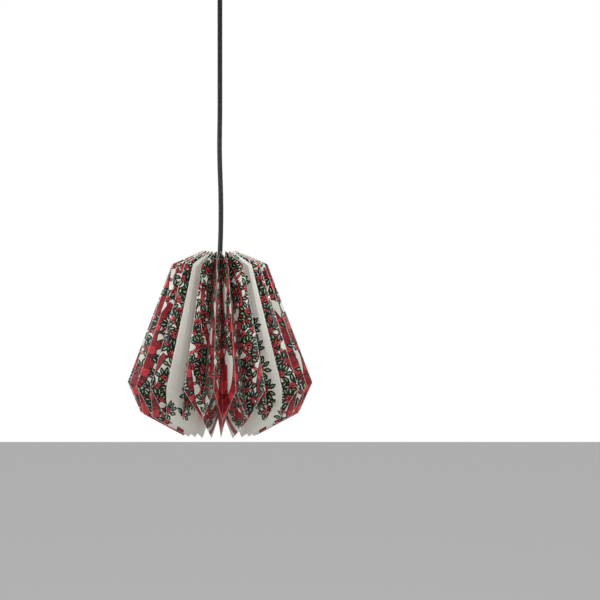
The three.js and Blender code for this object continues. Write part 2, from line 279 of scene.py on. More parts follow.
def turned(at, angle, x, y):
    """A point at x along and y across a direction, from a place on the sheet."""
    cos, sin = math.cos(angle), math.sin(angle)
    return (at[0] + x * cos - y * sin, at[1] + x * sin + y * cos)


# The tree's limbs: their lines on the sheet from the root upwards, and their widths at both ends.
MIDDLE = SHEET_WIDTH / 2
LIMBS = [
    ([(-4, 312), (2, 262), (-2, 214), (3, 166)], 46, 24),
    ([(-6, 232), (-30, 202), (-42, 166), (-38, 126), (-50, 84)], 20, 7),
    ([(8, 228), (30, 204), (38, 168), (32, 130), (44, 86)], 21, 7),
    ([(3, 178), (-5, 136), (5, 98), (0, 44)], 22, 7),
    ([(-12, 266), (-50, 252), (-80, 226), (-92, 190), (-104, 154)], 14, 6),
    ([(10, 262), (52, 248), (84, 228), (92, 194), (106, 158)], 15, 6),
    ([(-41, 156), (-66, 130), (-84, 98), (-88, 56)], 10, 5),
    ([(35, 152), (62, 128), (80, 96), (84, 54)], 10, 5),
    ([(-16, 296), (-58, 292), (-98, 270)], 13, 6),
    ([(18, 292), (60, 290), (104, 268)], 13, 6),
    ([(-38, 132), (-28, 96), (-36, 40)], 9, 5),
    ([(33, 130), (24, 92), (34, 36)], 9, 5),
]
LEAVES_END = 292.0  # how far down the leaves reach beside the trunk
LEAVES_RISE = 0.42  # and how fast that line climbs towards the sheet's edges
LEAVES_LEFT = PANEL + 5  # where the fans start; their leaves reach onto the white first panel
LEAVES_RIGHT = SHEET_WIDTH - PANEL * 0.7


def draw_limbs(art, lines):
    """Every limb's outline first, so that limbs run into each other, then their bark and bands."""
    for line, start, end in lines:
        art.strip(line, start, end, "black", grow=LIMB_OUTLINE)
    for i, (line, start, end) in enumerate(lines):
        art.strip(line, start, end, "crimson" if i in (0, 3) else "red", kind=BARK)
    for line, start, end in lines[1:] + lines[:1]:
        draw_bands(art, line, start, end)


def draw_bands(art, line, start, end):
    """Pairs of bowed black bands across a limb, with a brighter stretch of bark above each pair."""
    left, right, _ = side_points(line, lambda t: start + (end - start) * t)
    for i in range(3, len(line) - 3, BAND_SPACING):
        widths = [start + (end - start) * k / (len(line) - 1) * 0.95 for k in (i, i + 2)]
        art.strip(line[i:i + 3], *widths, "scarlet", grow=-0.6, kind=BARK)
        band(art, line, left, right, i, 0.0)
        band(art, line, left, right, i, 0.55)


def band(art, line, left, right, i, lift):
    """One curved band across a limb, bowed towards the root."""
    a, b = Vector(left[i]), Vector(right[i])
    ahead = (Vector(line[i + 1]) - Vector(line[i])).normalized()
    width = (a - b).length
    thick = 1.3 + 0.035 * width
    rise = lift * (4 + 0.12 * width)
    points = []
    for side in (-1, 1):
        row = []
        for k in range(7):
            t = k / 6
            bow = -0.16 * width * math.sin(math.pi * t)
            row.append(tuple(a.lerp(b, t) + ahead * (bow + rise + side * thick / 2)))
        points += row if side < 0 else row[::-1]
    art.shape(points, "black")


def plan_leaves(limbs, dice):
    """Twigs that climb from the limbs or from nearer twigs, and a fan of leaves at each one's end."""
    places = []
    step = FAN_SPACING * 0.87
    for row in range(int(SHEET_HEIGHT / step)):
        for column in range(int(SHEET_WIDTH / FAN_SPACING)):
            x = PANEL + (column + row % 2 / 2) * FAN_SPACING + dice.uniform(-3, 3)
            at = Vector((x, 6 + row * step + dice.uniform(-3, 3)))
            lowest = LEAVES_END - LEAVES_RISE * abs(x - MIDDLE)
            inside = LEAVES_LEFT < x < LEAVES_RIGHT and at.y < lowest
            if inside and not any(inside_limb(at, *limb) for limb in limbs):
                places.append(at)
    anchors = [Vector(p) for line, _, _ in limbs for p in line]
    places.sort(key=lambda at: min((anchor - at).length for anchor in anchors))
    twigs, fans = [], []
    for at in places:
        root = min(anchors, key=lambda anchor: climb_cost(anchor, at))
        bend = Vector((root.x + (at.x - root.x) * 0.62, root.y + (at.y - root.y) * 0.38))
        twigs.append(smooth_line([tuple(root), tuple(bend), tuple(at)], 3))
        anchors += [Vector(p) for p in twigs[-1][3:]]
        fans.append((at, math.atan2(at.y - bend.y, at.x - bend.x)))
    return twigs, fans


def climb_cost(anchor, at):
    """How far a twig has to run, and how far it is from rising at the usual slant."""
    return (anchor - at).length + 1.1 * abs(anchor.y - at.y - TWIG_RISE * abs(anchor.x - at.x))


def draw_twigs(art, twigs, dice):
    for line in reversed(twigs):
        art.strip(line, *TWIG_WIDTHS, dice.choice(("scarlet", "crimson", "scarlet")), kind=TWIG)


def draw_fan(art, at, angle, dice):
    """Five to seven leaves on short stalks that spread from a twig's end."""
    leaves = dice.choice((5, 6, 6, 7, 7))
    middle = (leaves - 1) / 2
    turns = [angle + (i - middle) * FAN_SPREAD + dice.uniform(-0.12, 0.12) for i in range(leaves)]
    uneven_by = (-STALK_UNEVEN, STALK_UNEVEN)
    tips = [turned(at, turn, STALK_REACH + dice.uniform(*uneven_by), 0) for turn in turns]
    shadow = [turned(at, angle + 2 * math.pi * i / 8, FAN_SHADOW, 0) for i in range(8)]
    art.shape(shadow, "black")
    for tip in tips:
        art.strip([tuple(at), tip], *STALK_WIDTHS, dice.choice(("scarlet", "crimson")), kind=TWIG)
    for tip, turn in zip(tips, turns):
        art.leaf(tip, turn, dice.uniform(*LEAF_LENGTHS), dice.choice(("green", "green", "lime")))


def inside_limb(at, line, start, end):
    """Whether a place is on a limb or within three millimetres of its side."""
    last = len(line) - 1
    reach = [(start + (end - start) * i / last) / 2 + 3 for i in range(len(line))]
    return any((Vector(p) - at).length < far for p, far in zip(line, reach))


def crease_lines():
    """The creases and the finer lines that let a panel curve, as pairs of points on the flat sheet."""
    lines = []
    parts = 4
    for fold in range(FOLDS * parts + 1):
        x = fold * PANEL / parts
        lines.append(((x, 0.0), (x, SHEET_HEIGHT)))
    for fold in range(FOLDS):
        ridge, valley = (fold, fold + 1) if fold % 2 == 0 else (fold + 1, fold)
        lines.append(((ridge * PANEL, PANEL), (valley * PANEL, 0.0)))
        lines.append(((ridge * PANEL, RIDGE_WIDEST), (valley * PANEL, RIDGE_WIDEST + PANEL)))
    levels = 12
    for level in range(1, levels):
        y = SHEET_HEIGHT * level / levels
        lines.append(((0.0, y), (SHEET_WIDTH, y)))
    return lines


def flat_triangles(outlines, lines):
    """Triangles over the flat sheet that keep to every outline and line, and the outlines round each one."""
    points, faces, edges = [], [], []
    for outline in outlines:
        faces.append(list(range(len(points), len(points) + len(outline))))
        points += [Vector(p) for p in outline]
    for a, b in lines:
        edges.append((len(points), len(points) + 1))
        points += [Vector(a), Vector(b)]
    made = geometry.delaunay_2d_cdt(points, edges, faces, 0, 1e-3, True)
    kept = [(triangle, max(origins)) for triangle, origins in zip(made[2], made[5]) if 0 in origins]
    return [tuple(p) for p in made[0]], [t for t, _ in kept], [top for _, top in kept]


def rim_edges(triangles):
    """The edges that only one triangle has."""
    edges = {(t[i], t[(i + 1) % 3]) for t in triangles for i in range(3)}
    return [(a, b) for a, b in edges if (b, a) not in edges]


def flat_sheet():
    """Both sides of the flat sheet: the printed one with its artwork, and the plain one."""
    art = Artwork()
    edge = [(0.0, 0.0), (SHEET_WIDTH, 0.0), (SHEET_WIDTH, SHEET_HEIGHT), (0.0, SHEET_HEIGHT)]
    art.shape(edge, "paper")
    dice = random.Random(7)
    limbs = [(smooth_line([(MIDDLE + x, y) for x, y in points]), a, b) for points, a, b in LIMBS]
    twigs, fans = plan_leaves(limbs, dice)
    draw_twigs(art, twigs, dice)
    draw_limbs(art, limbs)
    for at, angle in fans:
        draw_fan(art, at, angle, dice)
    points, triangles, tops = flat_triangles([outline for outline, _, _ in art.shapes], crease_lines())
    shapes = [art.shapes[top] for top in tops]
    rim = rim_edges(triangles)
    back = flat_triangles([edge], crease_lines() + [(points[a], points[b]) for a, b in rim])
    return (points, triangles, shapes), back[:2]


def place_on_strip(point, line, along, start, end):
    """How far along and across a strip a point is, as (millimetres, -1 to 1)."""
    best = None
    for i in range(len(line) - 1):
        a, b = Vector(line[i]), Vector(line[i + 1])
        step = b - a
        t = min(max((Vector(point) - a).dot(step) / max(step.length_squared, 1e-9), 0), 1)
        offset = Vector(point) - (a + step * t)
        if best is None or offset.length < best[0]:
            side = 1 if step.x * offset.y - step.y * offset.x > 0 else -1
            best = (offset.length, along[i] + (along[i + 1] - along[i]) * t, side)
    width = start + (end - start) * best[1] / along[-1]
    return best[1], best[2] * best[0] / (width / 2)


# ---- Folding ---------------------------------------------
def uneven(fold, tag, amount):
    """A small fixed irregularity of a fold, the same for both sheets that share it."""
    return random.Random(f"{tag} {fold % (2 * PLEATS)}").uniform(-amount, amount)


# How far the front folds stand off their even places, in degrees, to follow the real shade's ridges.
LEAN = {1: -1.5, 2: -3.5, 3: -1.5, 4: -0.6, 5: -1.0, 6: -1.7, 7: 1.0, 8: 3.3, 9: 2.0, 10: 1.0}


def fold_point(fold, name):
    """Where a fold's named point is in space, in millimetres. Even folds are ridges and odd ones valleys."""
    radius, drop = (VALLEY if fold % 2 else RIDGE)[name]
    angle = TURN - 180.0 / SHEETS + HALF_PITCH * fold
    angle += uneven(fold, "angle", 0.8) + LEAN.get(fold, 0.0)
    wide = name == "wide"
    radius += uneven(fold, "radius " + name, 1.3 if wide else 0.6)
    drop += uneven(fold, "drop " + name, 1.2 if wide else 0.8)
    t = math.radians(angle)
    return Vector((radius * math.sin(t), -radius * math.cos(t), RIM_Z - drop))


class Panel:
    """One folded panel between a ridge and a valley: its flap, its main face and its lower face."""

    def __init__(self, fold):
        ridge, valley = (fold, fold + 1) if fold % 2 == 0 else (fold + 1, fold)
        self.ridge = {name: fold_point(ridge, name) for name in RIDGE}
        self.valley = {name: fold_point(valley, name) for name in VALLEY}
        middle = (self.ridge["wide"] + self.valley["wide"] + self.ridge["shoulder"] + self.valley["rim"]) / 4
        down = self.ridge["wide"] - self.ridge["shoulder"]
        across = self.valley["wide"] - self.ridge["wide"]
        normal = down.cross(across).normalized()
        outward = Vector((middle.x, middle.y, 0))
        self.normal = normal if normal.dot(outward) > 0 else -normal
        self.bow = 1.3 + uneven(fold, "bow", 0.5)

    def place(self, across, down):
        """A point in space from how far it is from ridge (0) to valley (1), and down the flat sheet."""
        ridge, valley = self.ridge, self.valley
        upper = PANEL * (1 - across)
        widest = RIDGE_WIDEST + PANEL * across
        if down < upper:
            share = down / PANEL
            return ridge["tuck"] * (1 - across - share) + ridge["shoulder"] * share + valley["rim"] * across
        wide = ridge["wide"].lerp(valley["wide"], across)
        if down <= widest:
            t = (down - upper) / (widest - upper)
            point = ridge["shoulder"].lerp(valley["rim"], across).lerp(wide, t)
            return point + self.normal * self.bow * math.sin(math.pi * across) * math.sin(math.pi * t)
        t = (down - widest) / (SHEET_HEIGHT - widest)
        point = wide.lerp(ridge["end"].lerp(valley["end"], across), t)
        return point - self.normal * 0.5 * self.bow * math.sin(math.pi * across) * math.sin(math.pi * t)


def folded_side(points, triangles, panels, offset):
    """One side of the folded sheet, moved out from the paper's middle."""
    placed = []
    for x, y in points:
        column = min(int(x / PANEL + 1e-6), FOLDS - 1)
        share = min(max(x / PANEL - column, 0.0), 1.0)
        placed.append(panels[column].place(share if column % 2 == 0 else 1 - share, y) * MM)
    mesh = bpy.data.meshes.new("side")
    mesh.from_pydata(placed, [], [t[::-1] for t in triangles])
    mesh.update()
    moved = [v.co + v.normal * offset * MM for v in mesh.vertices]
    bpy.data.meshes.remove(mesh)
    return moved


def folded_sheet(index, front, back):
    """One sheet of the shade as a closed thin body: printed outside, plain inside."""
    points, triangles, shapes = front
    back_points, back_triangles = back
    panels = [Panel(index * FOLDS + i) for i in range(FOLDS)]
    places = folded_side(points, triangles, panels, PAPER_THICK / 2)
    places += folded_side(back_points, back_triangles, panels, -PAPER_THICK / 2)
    count = len(points)
    faces = [t[::-1] for t in triangles] + [tuple(count + i for i in t) for t in back_triangles]
    rim = rim_edges(triangles)
    partner = {rounded(p): count + i for i, p in enumerate(back_points)}
    behind = {a: partner[rounded(points[a])] for edge in rim for a in edge}
    faces += [(a, b, behind[b], behind[a]) for a, b in rim]
    name = f"paper_sheet_{index + 1}"
    mesh = bpy.data.meshes.new(name)
    mesh.from_pydata(places, [], faces)
    finish_sheet_mesh(mesh, points + back_points, triangles, shapes)
    obj = bpy.data.objects.new(name, mesh)
    bpy.context.scene.collection.objects.link(obj)
    return obj


def rounded(point):
    return tuple(round(v, 2) for v in point)


def finish_sheet_mesh(mesh, points, triangles, shapes):
    """The flat coordinates, the ink and the marks at every corner, and the crease shading."""
    flat, ink, marks = [], [], []
    seen = {}
    for face in mesh.polygons:
        printed = face.index < len(triangles)
        face.material_index = 0 if printed else 1
        colour, mark = shapes[face.index][1:] if printed else ("paper", None)
        for corner in face.loop_indices:
            vertex = mesh.loops[corner].vertex_index
            x, y = points[vertex]
            flat += (x * MM, -y * MM)
            ink += (*INKS[colour], 1)
            if mark and (vertex, id(mark)) not in seen:
                seen[vertex, id(mark)] = mark((x, y))
            marks += seen[vertex, id(mark)] if mark else (0, 0, 0)
    mesh.uv_layers.new(name="flat").data.foreach_set("uv", flat)
    mesh.color_attributes.new(name="ink", type="FLOAT_COLOR", domain="CORNER").data.foreach_set("color", ink)
    mesh.attributes.new(name="marks", type="FLOAT_VECTOR", domain="CORNER").data.foreach_set("vector", marks)
    mesh.polygons.foreach_set("use_smooth", [True] * len(mesh.polygons))
    mesh.set_sharp_from_angle(angle=math.radians(14))


BARK_ROW = 2.2  # millimetres from one row of bark marks to the next


def printed_paper():
    """Satin coated paper: ink and marks from the mesh, worn creases and a little waviness."""
    n = Nodes("printed_paper")
    ink = n.add("ShaderNodeAttribute", attribute_name="ink").outputs["Color"]
    parts = n.add("ShaderNodeSeparateXYZ")
    n.join(n.add("ShaderNodeAttribute", attribute_name="marks").outputs["Vector"], parts.inputs[0])
    uv = n.add("ShaderNodeUVMap", uv_map="flat").outputs[0]
    for draw in (bark_marks, twig_marks, leaf_marks):
        ink = draw(n, ink, *parts.outputs, uv)
    colour = n.mix(n.math("MULTIPLY", crease_wear(n, uv), 0.6), ink, (0.78, 0.76, 0.71, 1))
    colour = n.mix(n.ramp(n.noise(260, 4), 0.35, 0.7, 0.0, 0.05), colour, (0.35, 0.33, 0.30, 1))
    rough = n.ramp(n.noise(90, 3), 0.3, 0.7, 0.26, 0.38)
    wavy = n.bump(n.noise(26, 2), 0.25, 0.004)
    fine = n.bump(n.noise(1500, 3), 0.12, 0.0004, wavy)
    return n.set(Base_Color=colour, Roughness=rough, Normal=fine, Specular_IOR_Level=0.3)


INK_BLACK = (*INKS["black"], 1)
INK_PALE = (0.66, 0.40, 0.34, 1)
INK_GLINT = (0.62, 0.74, 0.60, 1)


def bark_marks(n, ink, along, across, kind, uv):
    """Zigzag rows of short dark strokes on the limbs, and a few pale strands."""
    on = n.math("COMPARE", kind, BARK, 0.5)
    zigzag = n.math("MULTIPLY", n.math("PINGPONG", across, 0.22), 2.4)
    rows = n.math("ADD", n.math("MULTIPLY", along, 1 / BARK_ROW), zigzag)
    dash = n.ramp(n.math("PINGPONG", rows, 0.5), 0.30, 0.38)
    broken = n.ramp(n.noise(900, 2, uv), 0.40, 0.52)
    dark = n.math("MULTIPLY", n.math("MULTIPLY", dash, on), n.math("MULTIPLY", broken, 0.8))
    ink = n.mix(dark, ink, (0.04, 0.003, 0.008, 1))
    strands = n.ramp(n.math("PINGPONG", n.math("MULTIPLY", across, 2.5), 0.5), 0.42, 0.47)
    pale = n.math("MULTIPLY", strands, n.ramp(n.noise(160, 1, uv), 0.54, 0.60, 0.0, 0.45))
    return n.mix(n.math("MULTIPLY", pale, on), ink, INK_PALE)


def twig_marks(n, ink, along, across, kind, uv):
    """Black edges on the twigs, with broken pale strands between them."""
    on = n.math("COMPARE", kind, TWIG, 0.5)
    side = n.math("ABSOLUTE", across)
    strands = n.ramp(n.math("PINGPONG", n.math("MULTIPLY", across, 1.9), 0.5), 0.34, 0.42)
    pale = n.math("MULTIPLY", strands, n.ramp(n.noise(300, 2, uv), 0.44, 0.52, 0.0, 0.75))
    ink = n.mix(n.math("MULTIPLY", pale, on), ink, INK_PALE)
    return n.mix(n.math("MULTIPLY", n.ramp(side, 0.50, 0.60), on), ink, INK_BLACK)


def leaf_marks(n, ink, along, across, kind, uv):
    """A black rim round each leaf, and a broken pale line along its middle."""
    on = n.math("COMPARE", kind, LEAF, 0.5)
    side = n.math("ABSOLUTE", across)
    taper = n.math("SUBTRACT", 1.0, n.math("MULTIPLY", along, LEAF_TAPER))
    reach = n.math("ADD", n.math("DIVIDE", side, taper), n.math("MULTIPLY", along, along))
    spaced = n.ramp(n.math("PINGPONG", along, 0.2), 0.05, 0.09)
    dashes = n.math("MULTIPLY", n.ramp(side, 0.14, 0.24, 1.0, 0.0), spaced)
    short = n.math("MULTIPLY", dashes, n.ramp(n.math("ABSOLUTE", along), 0.55, 0.65, 1.0, 0.0))
    ink = n.mix(n.math("MULTIPLY", short, on), ink, INK_GLINT)
    return n.mix(n.math("MULTIPLY", n.ramp(reach, 0.46, 0.56), on), ink, INK_BLACK)


def crease_wear(n, uv):
    """One where the coating has cracked along a crease, zero elsewhere, from the flat coordinates."""
    parts = n.add("ShaderNodeSeparateXYZ")
    n.join(uv, parts.inputs[0])
    x = parts.outputs[0]
    y = n.math("MULTIPLY", parts.outputs[1], -1.0)
    panel = PANEL * MM
    fold = n.math("PINGPONG", x, panel)
    near_fold = n.math("MINIMUM", fold, n.math("SUBTRACT", panel, fold))
    upper = n.math("ABSOLUTE", n.math("SUBTRACT", y, n.math("SUBTRACT", panel, fold)))
    lower = n.math("ABSOLUTE", n.math("SUBTRACT", n.math("SUBTRACT", y, RIDGE_WIDEST * MM), fold))
    near = n.math("MINIMUM", near_fold, n.math("MULTIPLY", n.math("MINIMUM", upper, lower), 0.707))
    ragged = n.math("ADD", near, n.ramp(n.noise(420, 3, uv), 0.3, 0.7, -0.0003, 0.0003))
    return n.ramp(ragged, 0.00025, 0.0006, 1.0, 0.0)


def plain_paper():
    """The unprinted inner side."""
    n = Nodes("plain_paper")
    colour = n.mix(n.ramp(n.noise(300, 4), 0.3, 0.7, 0.0, 0.12), (0.70, 0.68, 0.64, 1), (0.55, 0.53, 0.49, 1))
    fine = n.bump(n.noise(1200, 4), 0.2, 0.0005)
    return n.set(Base_Color=colour, Roughness=0.62, Normal=fine)


def shade():
    front, back = flat_sheet()
    materials = printed_paper(), plain_paper()
    for index in range(SHEETS):
        sheet = folded_sheet(index, front, back)
        for material in materials:
            sheet.data.materials.append(material)
        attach(sheet, "shade")
        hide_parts(f"shade_sheet_{index + 1}")


# ---- Building pieces -------------------------------------
def add_piece(name, data, body, material, node):
    """A new object that rides on a body in place of one CAD node."""
    obj = bpy.data.objects.new(name, data)
    bpy.context.scene.collection.objects.link(obj)
    data.materials.append(material)
    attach(obj, body)
    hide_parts(node)
    return obj


def wire(name, radius, route, closed=False):
    """A round curve object's data along a route in millimetres."""
    curve = bpy.data.curves.new(name, "CURVE")
    curve.dimensions = "3D"
    curve.bevel_depth = radius * MM
    curve.bevel_resolution = 5
    curve.resolution_u = 6
    curve.use_fill_caps = True
    spline = curve.splines.new("BEZIER")
    spline.bezier_points.add(len(route) - 1)
    spline.use_cyclic_u = closed
    for point, place in zip(spline.bezier_points, route):
        point.co = Vector(place) * MM
        point.handle_left_type = point.handle_right_type = "AUTO"
    return curve


def softened(profile, ease):
    """A closed profile of (radius, z) with every corner off the axis rounded."""
    points = []
    for before, corner, after in zip(profile[-1:] + profile[:-1], profile, profile[1:] + profile[:1]):
        if corner[0] < 1e-6:
            points.append(corner)
            continue
        a, b, c = Vector(before), Vector(corner), Vector(after)
        cut = [min(ease / max((end - b).length, 1e-9), 0.4) for end in (a, c)]
        start, stop = b.lerp(a, cut[0]), b.lerp(c, cut[1])
        points += [tuple((start.lerp(b, t)).lerp(b.lerp(stop, t), t)) for t in (0, 0.33, 0.67, 1)]
    return points


def lathe(name, profile, ripple=None, segments=96, ease=0.4):
    """A turned body about Z from a closed profile. A ripple changes the radius by height and angle."""
    points = softened(profile, ease) if ease else profile
    mesh, turn = bmesh.new(), 2 * math.pi / segments
    rings = []
    for radius, z in points:
        if radius < 1e-6:
            rings.append([mesh.verts.new((0, 0, z * MM))])
            continue
        ring = []
        for i in range(segments):
            r = (ripple(radius, z, i * turn) if ripple else radius) * MM
            ring.append(mesh.verts.new((r * math.cos(i * turn), r * math.sin(i * turn), z * MM)))
        rings.append(ring)
    closes = rings[1:] + ([rings[0]] if min(points)[0] > 1e-6 else [])
    for lower, upper in zip(rings, closes):
        for i in range(segments):
            low = [lower[k % len(lower)] for k in (i, i + 1)]
            high = [upper[k % len(upper)] for k in (i + 1, i)]
            kept = list(dict.fromkeys(low + high))
            if len(kept) > 2:
                mesh.faces.new(kept)
    return smooth_mesh(name, mesh)


def smooth_mesh(name, mesh):
    """A finished mesh with its faces outwards and its hard edges kept."""
    bmesh.ops.recalc_face_normals(mesh, faces=mesh.faces)
    data = bpy.data.meshes.new(name)
    mesh.to_mesh(data)
    mesh.free()
    data.polygons.foreach_set("use_smooth", [True] * len(data.polygons))
    data.set_sharp_from_angle(angle=math.radians(32))
    return data


def eased(node, width=0.3):
    """A CAD node's shape with its hard edges eased."""
    mesh = bmesh.new()
    mesh.from_mesh(frame["nodes"][node].data)
    bmesh.ops.remove_doubles(mesh, verts=mesh.verts, dist=1e-6)
    bmesh.ops.dissolve_limit(mesh, angle_limit=math.radians(1), verts=mesh.verts, edges=mesh.edges)
    hard = [edge for edge in mesh.edges if edge.is_manifold and edge.calc_face_angle() > math.radians(32)]
    bmesh.ops.bevel(
        mesh, geom=hard, offset=width * MM, segments=3, profile=0.5, affect="EDGES", clamp_overlap=True,
    )
    return smooth_mesh(node + "_eased", mesh)


def thread(pitch, depth, low, high):
    """A ripple that cuts a rounded screw thread between two heights, fading out at both ends."""
    def ripple(radius, z, angle):
        fade = min(max(min(z - low, high - z) / pitch, 0.0), 1.0)
        return radius - depth * fade * (0.5 + 0.5 * math.cos(2 * math.pi * z / pitch - angle))
    return ripple


def ribs(count, depth, inner):
    """A ripple of grooves along a turned body, outside an inner radius."""
    def ripple(radius, z, angle):
        return radius - depth * max(math.cos(count * angle), 0.0) ** 2 if radius > inner else radius
    return ripple


def side_steps(radius, start, stop, step=0.5):
    """Points of a straight side, close enough together for a thread."""
    count = max(int(abs(stop - start) / step), 1)
    return [(radius, start + (stop - start) * i / count) for i in range(count + 1)]


# ---- Materials of the fittings ---------------------------
def metal(name, colour, worn, low, high):
    """Plated or turned metal: cloudy colour, fine drawn lines and a few deeper scratches."""
    n = Nodes(name)
    stretched = n.add("ShaderNodeMapping")
    stretched.inputs["Scale"].default_value = (1, 1, 14)
    n.join(n.objects(), stretched.inputs["Vector"])
    lines = n.noise(420, 4, stretched.outputs[0])
    cloud = n.ramp(n.noise(60, 3), 0.35, 0.7)
    rough = n.math("ADD", n.ramp(lines, 0.3, 0.7, low, high), n.math("MULTIPLY", cloud, 0.06))
    fine = n.bump(lines, 0.08, 0.0003, n.bump(n.noise(900, 2), 0.04, 0.0003))
    return n.set(Base_Color=n.mix(cloud, colour, worn), Metallic=1.0, Roughness=rough, Normal=fine)


def moulded(name, colour, shade_by, low, high, grain=0.1):
    """Moulded plastic: a fine spark-eroded grain, slight flow marks and dust-softened gloss."""
    n = Nodes(name)
    flow = n.ramp(n.noise(34, 3), 0.35, 0.7)
    dust = n.ramp(n.noise(140, 4), 0.45, 0.75, 0.0, 0.35)
    second = tuple(v * shade_by for v in colour[:3]) + (1,)
    base = n.mix(n.math("MULTIPLY", flow, 0.6), colour, second)
    rough = n.math("ADD", n.ramp(n.noise(260, 3), 0.3, 0.7, low, high), n.math("MULTIPLY", dust, 0.12))
    fine = n.bump(n.noise(2600, 2), grain, 0.0002, n.bump(n.noise(18, 1), 0.06, 0.002))
    return n.set(Base_Color=base, Roughness=rough, Normal=fine)


def fired_ceramic():
    """Unglazed steatite with small dark specks."""
    n = Nodes("steatite")
    specks = n.ramp(n.noise(1400, 2), 0.68, 0.74, 0.0, 0.5)
    base = n.mix(specks, (0.80, 0.76, 0.67, 1), (0.40, 0.35, 0.28, 1))
    rough = n.ramp(n.noise(200), 0.3, 0.7, 0.45, 0.6)
    return n.set(Base_Color=base, Roughness=rough, Normal=n.bump(n.noise(1100, 3), 0.15, 0.0003))


def opal_glass():
    """White opal glass: milky inside, clear gloss outside, with faint streaks."""
    n = Nodes("opal_glass")
    streak = n.ramp(n.noise(24, 3), 0.35, 0.7)
    base = n.mix(streak, (0.93, 0.92, 0.88, 1), (0.88, 0.87, 0.83, 1))
    rough = n.ramp(n.noise(320, 3), 0.4, 0.8, 0.10, 0.20)
    return n.set(
        Base_Color=base, Roughness=rough, Subsurface_Weight=0.35, Subsurface_Scale=0.006,
        Coat_Weight=0.5, Coat_Roughness=0.06, Normal=n.bump(n.noise(30, 1), 0.05, 0.002),
    )


def cotton_yarn():
    """Waxed cotton with fibres along the yarn."""
    n = Nodes("cotton_yarn")
    fibres = n.noise(3800, 3)
    base = n.mix(n.ramp(fibres, 0.35, 0.65), (0.66, 0.60, 0.48, 1), (0.42, 0.37, 0.28, 1))
    return n.set(Base_Color=base, Roughness=0.85, Sheen_Weight=0.3, Normal=n.bump(fibres, 0.5, 0.0003))


def glossy_sheath():
    """Black flexible PVC: a soft gloss, faint drawing lines and a dusting."""
    n = Nodes("glossy_sheath")
    dusting = n.ramp(n.noise(180, 3), 0.35, 0.7, 0.0, 0.4)
    colour = n.mix(dusting, (0.004, 0.005, 0.006, 1), (0.014, 0.017, 0.018, 1))
    rough = n.ramp(n.noise(120, 2), 0.3, 0.7, 0.27, 0.33)
    fine = n.bump(n.noise(700, 2), 0.03, 0.0003)
    return n.set(Base_Color=colour, Roughness=rough, Normal=fine, Specular_IOR_Level=0.35)


# ---- Cord, wires and thread ------------------------------
def cord():
    data = wire("flex", CORD_RADIUS, CORD_ROUTE)
    obj = add_piece("flex", data, "pendant", glossy_sheath(), "pendant_cord")


CORE_RADIUS = 1.1
CORE_LAY = 3.0  # how far a supply wire or a core lies from the middle


def supply_wires():
    for side, name, colour in ((-1, "live", (0.16, 0.07, 0.03, 1)), (1, "neutral", (0.03, 0.10, 0.32, 1))):
        sheath = moulded(name + "_insulation", colour, 0.7, 0.35, 0.5)
        y = side * CORE_LAY
        straight = wire("supply_" + name, CORE_RADIUS, [(7.0, y, -45.0), (10.5, y, -45.1), (13.7, y, -45.0)])
        add_piece("supply_" + name, straight, "pendant", sheath, "supply_wire_" + name)
        x, top = 9.0 * side, RIM_Z - 33  # over the middle of a terminal post
        bent = [(1.6 * side, 0, -459.3), (1.8 * side, 0, -462), (x * 0.75, 0, -467)]
        bent += [(x, 0, top + 4), (x, 0, top + 0.3)]
        core = wire("core_" + name, CORE_RADIUS, bent)
        add_piece("core_" + name + "_wire", core, "pendant", sheath, "core_" + name)


THREAD_RING, THREAD_DROP = 31.5, 11.0
KNOT_ANGLE = TURN - 180.0 / SHEETS + 2 * HALF_PITCH * 15  # under a ridge at the back


def gathering_thread():
    """Two twisted plies through every fold, tied in a small knot at the back."""
    ply, twists, steps = 0.29, 110, 8
    yarn = cotton_yarn()
    for phase in (0, math.pi):
        route = []
        for i in range(twists * steps):
            turn, twist = 2 * math.pi * i / (twists * steps), 2 * math.pi * i / steps + phase
            radius = THREAD_RING + ply * math.cos(twist)
            height = RIM_Z - THREAD_DROP + ply * math.sin(twist)
            route.append((radius * math.cos(turn), radius * math.sin(turn), height))
        data = wire("thread_ply", ply, route, closed=True)
        data.resolution_u, data.bevel_resolution = 1, 1
        add_piece("thread_ply", data, "shade", yarn, "gather_thread")
    angle = math.radians(KNOT_ANGLE)
    middle = Vector((THREAD_RING * math.sin(angle), -THREAD_RING * math.cos(angle), RIM_Z - THREAD_DROP))
    along = Vector((math.cos(angle), math.sin(angle), 0))
    up = Vector((0, 0, 1))
    knot = []
    for i in range(24):
        t = 2 * math.pi * i / 24
        x, y, z = math.sin(t) + 2 * math.sin(2 * t), math.cos(t) - 2 * math.cos(2 * t), -math.sin(3 * t)
        knot.append(middle + (along * z * 0.8 + Vector((0, 0, y * 0.4)) + along.cross(up) * x * 0.4))
    tied = wire("thread_knot", 0.45, knot, closed=True)
    add_piece("thread_knot", tied, "shade", yarn, "gather_thread")


# ---- Ceiling fitting -------------------------------------
HOOK_WIRE, LINK_WIRE, EYE_WIRE = 1.8, 1.3, 1.5  # radii of the round wire
HOOK_BEND, HOOK_MIDDLE = 6, -16
EYE_RADIUS = 5.5
CUP_RADIUS, CUP_WALL, CUP_CORNER, CUP_CORNER_Z = 45, 2, 12, -52.5


